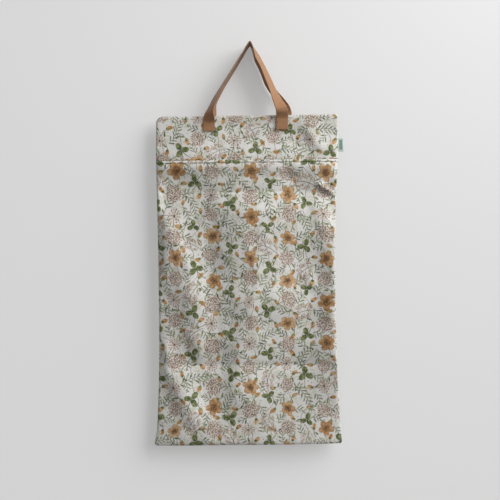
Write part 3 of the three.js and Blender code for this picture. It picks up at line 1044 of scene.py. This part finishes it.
def garden_print(cloth, ink):
    """Node group of the print: flat place on the cloth in metres to colour."""
    tree = bpy.data.node_groups.new("Garden Print", "ShaderNodeTree")
    tree.interface.new_socket("Flat", in_out="INPUT", socket_type="NodeSocketVector")
    tree.interface.new_socket("Color", in_out="OUTPUT", socket_type="NodeSocketColor")
    g = Graph(tree)
    flat = g.wire(g.node("NodeGroupInput"))
    u, v, _ = g.split(flat)
    wave_u, wave_v, _ = g.split(g.noise(flat, 160.0, 2.0, output="Color"))
    u = u * MILLIMETRES + (wave_u - 0.5) * PRINT_WOBBLE
    v = v * MILLIMETRES + (wave_v - 0.5) * PRINT_WOBBLE
    wash = g.ramp(g.noise(flat, 150.0, 3.0), 0.3, 0.7)
    column, drop = ink.column * MILLIMETRES, ink.drop * MILLIMETRES
    half, third = column / 2.0, column / 6.0
    stain = g.ramp(g.noise(flat, 14.0, 3.0), 0.35, 0.75)
    colour = g.mix(stain, cloth.ground, dimmed(cloth.ground, 0.96))

    def lay(layer, below):
        return g.mix(layer.mask, below, g.mix(layer.tone, layer.shade, layer.light))

    beds = (
        Bed(faded_twig, half, drop / 2.0, 0.5 * third, 0.125 * drop, 5.0, 8.0),
        Bed(twig, half, drop / 2.0, 2.0 * third, 0.0, 11.0, 6.0),
        Bed(bud, half, drop / 2.0, third, drop / 4.0, 23.0, 6.0),
        Bed(flower_head, column, drop, 0.0, drop * 0.50, 41.0, 8.0),
        Bed(either(lacy_spray, sprig, 0.5), column, drop, half, drop * 0.25, 37.0, 8.0),
        Bed(garden_leaf, column, drop, half, drop * 0.75, 53.0, 8.0),
        Bed(either(blossom, seed_clock, 0.62), column, drop, 0.0, 0.0, 67.0, 8.0),
    )
    colour = lay(trailing_stems(g, u, v, half, drop, ink), lay(seeds(g, u, v, ink), colour))
    for bed in beds:
        x, y, chance = scatter(g, u, v, bed)
        for layer in bed.motif(g, x, y, chance, wash, ink):
            colour = lay(layer, colour)
    output = g.node("NodeGroupOutput")
    g.feed(output.inputs[0], colour)
    return tree


# Materials

def start_material(name, roughness, sheen, specular):
    """New material with a Principled shader, its node graph and the shader's node."""
    material = bpy.data.materials.new(name)
    material.use_nodes = True
    shader = material.node_tree.nodes["Principled BSDF"]
    shader.inputs["Roughness"].default_value = roughness
    shader.inputs["Sheen Weight"].default_value = sheen
    shader.inputs["Sheen Roughness"].default_value = 0.5
    shader.inputs["Specular IOR Level"].default_value = specular
    return material, Graph(material.node_tree), shader


def paint(g, shader, colour, roughness):
    """Gives a shader its colour and roughness."""
    g.feed(shader.inputs["Base Color"], colour)
    g.feed(shader.inputs["Roughness"], roughness)


def object_place(g):
    """Place in the object's own frame, in metres."""
    return g.wire(g.node("ShaderNodeTexCoord"), "Object")


def flat_place(g):
    """Place on the flat cloth, in metres."""
    return g.wire(g.node("ShaderNodeUVMap", uv_map="Flat"))


def add_bump(g, shader, height, strength, distance):
    """Roughens the surface by a height from 0 to 1."""
    bump = g.node("ShaderNodeBump")
    bump.inputs["Strength"].default_value = strength
    bump.inputs["Distance"].default_value = distance
    g.feed(bump.inputs["Height"], height)
    g.feed(shader.inputs["Normal"], g.wire(bump))


def weave_height(g, u, v, pitch):
    """Height of a plain weave of the given yarn pitch, from 0 to 1."""
    turn = math.pi / pitch
    warp, weft = g.sine(u * turn), g.sine(v * turn)
    return (warp * weft) * 0.5 + 0.5


def printed_cloth(cloth, ink):
    """Printed cloth with a fine weave."""
    material, g, shader = start_material("Printed cloth", 0.78, 0.12, 0.3)
    flat = flat_place(g)
    group = g.node("ShaderNodeGroup", node_tree=garden_print(cloth, ink))
    g.feed(group.inputs[0], flat)
    u, v, _ = g.split(flat)
    grain = g.noise(flat, 900.0, 2.0)
    paint(g, shader, g.wire(group), g.ramp(grain, 0.3, 0.7, 0.70, 0.86))
    add_bump(g, shader, weave_height(g, u, v, CLOTH_YARN) * 0.7 + grain * 0.3, 0.25, 0.0001)
    return material


def coated_face(cloth):
    """Smooth waterproof coating inside the bag."""
    material, g, shader = start_material("Coated inner face", 0.45, 0.0, 0.4)
    flat = flat_place(g)
    dapple = g.noise(flat, 60.0, 3.0)
    colour = g.mix(dapple, cloth.coating, dimmed(cloth.coating, 0.94))
    paint(g, shader, colour, g.ramp(dapple, 0.3, 0.7, 0.38, 0.52))
    add_bump(g, shader, g.noise(flat, 700.0, 2.0), 0.15, 0.0001)
    return material


def webbing_yarn(webbing):
    """Ribbed cotton webbing: slanting ribs across it, painted darker in the hollows between the ribs as
    painted shade, and darker towards both selvedges.
    """
    material, g, shader = start_material("Tan webbing", 0.82, 0.2, 0.25)
    flat = flat_place(g)
    u, v, _ = g.split(flat)
    half = webbing.width / 2.0
    lean = abs(u) * 0.55
    rib = g.sine((v + lean) * (math.tau / WEBBING_RIB)) * 0.5 + 0.5
    ply = g.sine(u * (math.tau / WEBBING_PLY)) * 0.5 + 0.5
    height = rib * 0.7 + ply * 0.3
    slub = g.noise(flat, 320.0, 3.0)
    edge = g.ramp(abs(u), half - SELVEDGE, half)
    # Painted shade: the hollows between the ribs take the darker colour. The slubs are random tone, and the
    # colour also darkens towards both selvedges.
    tone = height * 0.45 + slub * 0.55 - edge * 0.25
    paint(g, shader, g.mix(tone, webbing.shade, webbing.tan), g.ramp(slub, 0.3, 0.7, 0.74, 0.92))
    add_bump(g, shader, height, 0.6, 0.0004)
    return material


def label_tape(label):
    """Woven tape with a darker field in the middle."""
    material, g, shader = start_material("Mint label", 0.6, 0.15, 0.35)
    flat = flat_place(g)
    u, v, _ = g.split(flat)
    beyond_ends = abs(abs(u) - 0.5 * label.length) - 0.29 * label.length
    field = g.highest(beyond_ends, abs(v) - 0.37 * label.height)
    yarn = weave_height(g, u, v, LABEL_YARN)
    colour = g.mix(g.ramp(field, -0.0012, 0.0012, 0.85, 0.0), label.mint, label.teal)
    woven = g.mix(yarn * 0.12, colour, LABEL_WEFT)
    paint(g, shader, woven, g.ramp(g.noise(flat, 500.0), 0.3, 0.7, 0.5, 0.7))
    add_bump(g, shader, yarn, 0.4, 0.0002)
    return material


def sewing_thread(name, colour):
    """Twisted sewing thread, painted darker in the grooves of its twist as painted shade."""
    material, g, shader = start_material(name, 0.6, 0.1, 0.35)
    x, y, z = g.split(object_place(g))
    twist = g.sine((x + y + z) * (math.tau / THREAD_PLY)) * 0.5 + 0.5
    # Painted shade: the grooves of the twist take the dimmed colour.
    paint(g, shader, g.mix(twist, dimmed(colour, 0.8), colour), g.ramp(twist, 0.0, 1.0, 0.5, 0.7))
    add_bump(g, shader, twist, 0.4, 0.0001)
    return material


# Handles, label and stitching

def handle_line(webbing, facing):
    """Middle line of a handle at even steps, the direction across the webbing and the run along it."""
    table = np.array(HANDLE_PATH)
    chord = np.concatenate([[0.0], np.cumsum(np.hypot(*np.diff(table[:, :2], axis=0).T))])
    at = np.linspace(0.0, chord[-1], webbing.steps + 1)
    x, z = smooth_curve(chord, table[:, 0], at), smooth_curve(chord, table[:, 1], at)
    out, turn = np.interp(at, chord, table[:, 2]), np.radians(np.interp(at, chord, table[:, 3]))
    if facing > 0.0:
        out = np.minimum(out, BACK_OUT)
    run_x, run_z = np.gradient(x, at), np.gradient(z, at)
    size = np.hypot(run_x, run_z)
    open_share = np.cos(turn)
    wide = np.stack([open_share * run_z / size, facing * np.sin(turn), -open_share * run_x / size], axis=-1)
    return np.stack([x, facing * out, z], axis=-1), wide, at


def part_leg(leg, x, z):
    """Place across the bag of the points of one leg of a handle."""
    spread = soft(-z, leg.start, leg.end)
    return x * (leg.widen + (1.0 - leg.widen) * spread) + leg.shift * spread


def handle_points(webbing, facing, legs):
    """Places of a handle's points and their places along the webbing."""
    middle, wide, at = handle_line(webbing, facing)
    across = np.linspace(-0.5, 0.5, HANDLE_COLUMNS) * webbing.width
    places = middle[:, None, :] + wide[:, None, :] * across[None, :, None]
    x, z = places[..., 0], places[..., 2]
    places[..., 0] = np.where(x < 0.0, *[part_leg(leg, x, z) for leg in legs])
    flat = np.stack(np.broadcast_arrays(across[None, :], at[:, None]), axis=-1)
    return places, flat


def webbing_handle(name, node, facing, legs, material, webbing):
    """One webbing handle in place of its CAD node."""
    places, flat = handle_points(webbing, facing, legs)
    piece = grid_piece(name, places, flat, [material], facing_back=facing > 0)
    add_wall(piece, webbing.thickness, 0.0)
    edge = piece.modifiers.new("Soft edge", "BEVEL")
    edge.width = 0.3 * webbing.thickness
    edge.segments = 2
    edge.limit_method = "ANGLE"
    edge.angle_limit = math.radians(50.0)
    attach(piece, BODY)
    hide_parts(node)


def folded_label(label, material):
    """Folded tape caught in the right side seam, its fold outwards."""
    fold = 0.5 * label.thickness - LABEL_INSET
    straight = label.length - 0.5 * label.thickness
    reach = straight + fold * math.pi / 2.0
    run = np.linspace(-reach, reach, LABEL_COLUMNS)
    past = np.maximum(np.abs(run) - fold * math.pi / 2.0, 0.0)
    turn = np.clip(run / fold, -math.pi / 2.0, math.pi / 2.0)
    rise = np.linspace(-0.5, 0.5, LABEL_ROWS) * label.height
    out = straight + fold * np.cos(turn) - past
    lift = out / label.length
    level = 0.5 * (LABEL_LOW.z + LABEL_HIGH.z) + rise
    curl = LABEL_CURL * lift[None, :] ** 2 * np.sin(rise[:, None] * (math.pi / label.height) + CURL_TURN)
    y = fold * np.sin(turn)[None, :] + curl
    x, y, z = np.broadcast_arrays(LABEL_LOW.x + out[None, :], y, level[:, None])
    flat = np.stack(np.broadcast_arrays(run[None, :], rise[:, None]), axis=-1)
    piece = grid_piece("side_label_tape", np.stack([x, y, z], axis=-1), flat, [material])
    add_wall(piece, LABEL_TAPE, 0.0)
    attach(piece, BODY)
    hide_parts("side_label")


def thread_stitch(shape, start, end, normal, width):
    """One stitch of thread: a small flattened bead between two points on the cloth."""
    along = end - start
    direction = along.normalized()
    side = normal.cross(direction).normalized()
    up = direction.cross(side)
    turn = Matrix((direction, side, up)).transposed().to_4x4()
    stretch = Matrix.Diagonal((along.length / 2.0, width / 2.0, width / 2.5, 1.0))
    matrix = Matrix.Translation((start + end) / 2.0) @ turn @ stretch
    bmesh.ops.create_uvsphere(shape, u_segments=8, v_segments=5, radius=1.0, matrix=matrix)


def stitched_piece(name, stitches, width, material):
    """Row of stitches. Each has its start, its end and the direction that it faces."""
    shape = bmesh.new()
    for start, end, normal in stitches:
        thread_stitch(shape, Vector(start), Vector(end), Vector(normal), width)
    piece = new_object(name, shape, [material])
    piece.data.shade_smooth()
    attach(piece, BODY)


def front_place(x, z, cloth):
    """Place on the face of the front panel."""
    left, right = side_edges(z)
    calm = soft(np.minimum(x - left, right - x), 0.0, CALM_REACH * FRONT_RADIUS)
    y = -(SEAM_GAP / 2.0 + FRONT_RADIUS + front_relief(x, z, calm, cloth))
    return np.stack([x, y, z], axis=-1)


def lip_stitches(cloth):
    """Stitches along the foot of the lip's hem."""
    lip = OUTLINE[1]
    starts = np.arange(lip.left + LIP_STITCH_ENDS.left, lip.right - LIP_STITCH_ENDS.right, LIP_STITCH.pitch)
    ends = starts + LIP_STITCH.sewn
    level = LIP_TOP - HEM_HEIGHT
    first = front_place(starts, level + TOP_SLANT * starts, cloth)
    last = front_place(ends, level + TOP_SLANT * ends, cloth)
    return [(a, b, (0.0, -1.0, 0.0)) for a, b in zip(first, last)]


def box_stitches(left, right, low, high, y, facing):
    """Stitches round a box at one sewn end of a handle."""
    sewn = BOX_STITCH.sewn
    corners = [(left, low), (right, low), (right, high), (left, high), (left, low)]
    stitches = []
    for (x0, z0), (x1, z1) in zip(corners, corners[1:]):
        length = math.hypot(x1 - x0, z1 - z0)
        for start in np.arange(0.0, length - sewn, BOX_STITCH.pitch):
            share, until = start / length, (start + sewn) / length
            a = (x0 + (x1 - x0) * share, y, z0 + (z1 - z0) * share)
            b = (x0 + (x1 - x0) * until, y, z0 + (z1 - z0) * until)
            stitches.append((a, b, (0.0, facing, 0.0)))
    return stitches


def handle_stitches(webbing):
    """Box stitches at the four sewn ends."""
    half = webbing.width / 2.0 - BOX_MARGIN
    stitches = []
    for facing, legs in ((-1.0, FRONT_LEGS), (1.0, BACK_LEGS)):
        y = facing * (SEWN_OUT + webbing.thickness / 2.0)
        for leg, end in zip(legs, (HANDLE_PATH[0], HANDLE_PATH[-1])):
            x = end.x + leg.shift
            low, high = end.z + BOX_MARGIN, BAG_TOP - BOX_DROP
            stitches += box_stitches(x - half, x + half, low, high, y, facing)
    return stitches


# Stage

def stage_plane(name, material, matrix):
    """Flat square of the stage. It takes shadows, and throws no light or shadow on the bag."""
    shape = bmesh.new()
    bmesh.ops.create_grid(shape, x_segments=1, y_segments=1, size=STAGE_REACH, matrix=matrix)
    plane = new_object(name, shape, [material])
    plane.visible_diffuse = False
    plane.visible_glossy = False
    plane.visible_transmission = False
    plane.visible_shadow = False


def one_sided(colour, glow):
    """Pale matte paint that is clear from behind, so that the wall never hides the bag."""
    material, g, shader = start_material("Wall paint", 0.9, 0.0, 0.2)
    g.feed(shader.inputs["Emission Color"], WHITE)
    g.feed(shader.inputs["Emission Strength"], glow)
    grain = g.noise(object_place(g), 3.0)
    g.feed(shader.inputs["Base Color"], g.mix(grain, dimmed(colour, 0.985), colour))
    clear = g.wire(g.node("ShaderNodeBsdfTransparent"))
    behind = g.wire(g.node("ShaderNodeNewGeometry"), "Backfacing")
    mix = g.node("ShaderNodeMixShader")
    for socket, value in zip(mix.inputs, (behind, g.wire(shader), clear)):
        g.feed(socket, value)
    output = material.node_tree.nodes["Material Output"]
    g.feed(output.inputs["Surface"], g.wire(mix))
    return material


def area_lamp(lamp, power):
    """Soft square lamp that faces a point."""
    light = bpy.data.lights.new(lamp.name, "AREA")
    light.energy = power
    light.size = lamp.side
    holder = bpy.data.objects.new(lamp.name, light)
    holder.location = lamp.place
    way = Vector(lamp.aim) - Vector(lamp.place)
    holder.rotation_euler = way.to_track_quat("-Z", "Y").to_euler()
    holder.visible_camera = False
    bpy.context.scene.collection.objects.link(holder)


def room_light(sky, bounce):
    """Pale light from all round, stronger from the side of the wall."""
    world = bpy.data.worlds.new("Room light")
    world.use_nodes = True
    g = Graph(world.node_tree)
    background = world.node_tree.nodes["Background"]
    g.feed(background.inputs["Color"], WHITE)
    _, depth, _ = g.split(g.wire(g.node("ShaderNodeTexCoord"), "Generated"))
    g.feed(background.inputs["Strength"], g.ramp(depth, -ROOM_BLEND, ROOM_BLEND, sky, bounce))
    bpy.context.scene.world = world


def front_camera(stage):
    """Camera straight in front of the bag."""
    lens = bpy.data.cameras.new("Camera")
    lens.lens = stage.lens
    lens.sensor_width = 36.0
    camera = bpy.data.objects.new("Camera", lens)
    camera.location = (0.0, -stage.distance, stage.view_height)
    camera.rotation_euler = (math.pi / 2.0, 0.0, 0.0)
    bpy.context.scene.collection.objects.link(camera)
    bpy.context.scene.camera = camera


# Operators

class LAUNDRY_BAG_OT_panels(bpy.types.Operator):
    """Add the three panels of printed cloth"""

    bl_idname = "laundry_bag.panels"
    bl_label = "Cloth Panels"

    def execute(self, context):
        settings = context.scene.laundry_bag
        cloth = settings.cloth
        faces = [printed_cloth(cloth, settings.print), coated_face(cloth)]
        places, flat = panel_points(front_levels(cloth), FRONT_RADIUS, -1.0, front_relief, cloth)
        cloth_panel("front_panel_cloth", "front_panel", places, flat, FRONT_CUT, faces, cloth)
        levels, tongue = yoke_levels(cloth)
        places, flat = panel_points(levels, FLAT_RADIUS, -1.0, yoke_relief, cloth, tongue)
        cloth_panel("yoke_panel_cloth", "yoke_panel", places, flat, YOKE_CUT, faces, cloth)
        places, flat = panel_points(back_levels(cloth), FLAT_RADIUS, 1.0, back_relief, cloth)
        cloth_panel("back_panel_cloth", "back_panel", places, flat, BACK_CUT, faces, cloth, facing_back=True)
        return {"FINISHED"}


class LAUNDRY_BAG_OT_handles(bpy.types.Operator):
    """Add the two webbing handles"""

    bl_idname = "laundry_bag.handles"
    bl_label = "Webbing Handles"

    def execute(self, context):
        webbing = context.scene.laundry_bag.webbing
        yarn = webbing_yarn(webbing)
        webbing_handle("front_handle_webbing", "front_handle", -1.0, FRONT_LEGS, yarn, webbing)
        webbing_handle("back_handle_webbing", "back_handle", 1.0, BACK_LEGS, yarn, webbing)
        return {"FINISHED"}


class LAUNDRY_BAG_OT_label(bpy.types.Operator):
    """Add the folded side label"""

    bl_idname = "laundry_bag.label"
    bl_label = "Side Label"

    def execute(self, context):
        label = context.scene.laundry_bag.label
        folded_label(label, label_tape(label))
        return {"FINISHED"}


class LAUNDRY_BAG_OT_stitching(bpy.types.Operator):
    """Add the stitches of the lip and of the handles' sewn ends"""

    bl_idname = "laundry_bag.stitching"
    bl_label = "Stitching"

    def execute(self, context):
        settings = context.scene.laundry_bag
        cloth, webbing = settings.cloth, settings.webbing
        pale = sewing_thread("Pale thread", cloth.thread)
        brown = sewing_thread("Brown thread", webbing.thread)
        stitched_piece("lip_stitching", lip_stitches(cloth), LIP_STITCH.width, pale)
        stitched_piece("handle_stitching", handle_stitches(webbing), BOX_STITCH.width, brown)
        return {"FINISHED"}


class LAUNDRY_BAG_OT_stage(bpy.types.Operator):
    """Add the wall, the floor, the lamps and the camera"""

    bl_idname = "laundry_bag.stage"
    bl_label = "Stage"

    def execute(self, context):
        stage = context.scene.laundry_bag.stage
        pale = one_sided(stage.wall, stage.glow)
        upright = Matrix.Rotation(math.pi / 2.0, 4, "X")
        stage_plane("Wall", pale, Matrix.Translation(WALL_PLACE) @ upright)
        stage_plane("Floor", pale, Matrix.Translation(FLOOR_PLACE))
        area_lamp(KEY_LAMP, stage.key)
        area_lamp(NEAR_LAMP, stage.near)
        area_lamp(BACK_LAMP, stage.back)
        room_light(stage.sky, stage.bounce)
        front_camera(stage)
        context.scene.view_settings.view_transform = "Standard"
        return {"FINISHED"}


class LAUNDRY_BAG_PT_sidebar(bpy.types.Panel):
    """Lists the steps that dress the bag"""

    bl_label = "Laundry Bag"
    bl_idname = "LAUNDRY_BAG_PT_sidebar"
    bl_space_type = "VIEW_3D"
    bl_region_type = "UI"
    bl_category = "Laundry Bag"

    def draw(self, context):
        for operator in OPERATORS:
            self.layout.operator(operator.bl_idname)


OPERATORS = (
    LAUNDRY_BAG_OT_panels,
    LAUNDRY_BAG_OT_handles,
    LAUNDRY_BAG_OT_label,
    LAUNDRY_BAG_OT_stitching,
    LAUNDRY_BAG_OT_stage,
)
SETTINGS = (ClothSettings, PrintSettings, WebbingSettings, LabelSettings, StageSettings, BagSettings)


def register():
    for cls in (*SETTINGS, *OPERATORS, LAUNDRY_BAG_PT_sidebar):
        bpy.utils.register_class(cls)
    bpy.types.Scene.laundry_bag = PointerProperty(type=BagSettings)


def unregister():
    del bpy.types.Scene.laundry_bag
    for cls in (LAUNDRY_BAG_PT_sidebar, *reversed(OPERATORS), *reversed(SETTINGS)):
        bpy.utils.unregister_class(cls)


def main():
    register()
    bpy.ops.laundry_bag.panels()
    bpy.ops.laundry_bag.handles()
    bpy.ops.laundry_bag.label()
    bpy.ops.laundry_bag.stitching()
    bpy.ops.laundry_bag.stage()


if __name__ == "__main__":
    main()
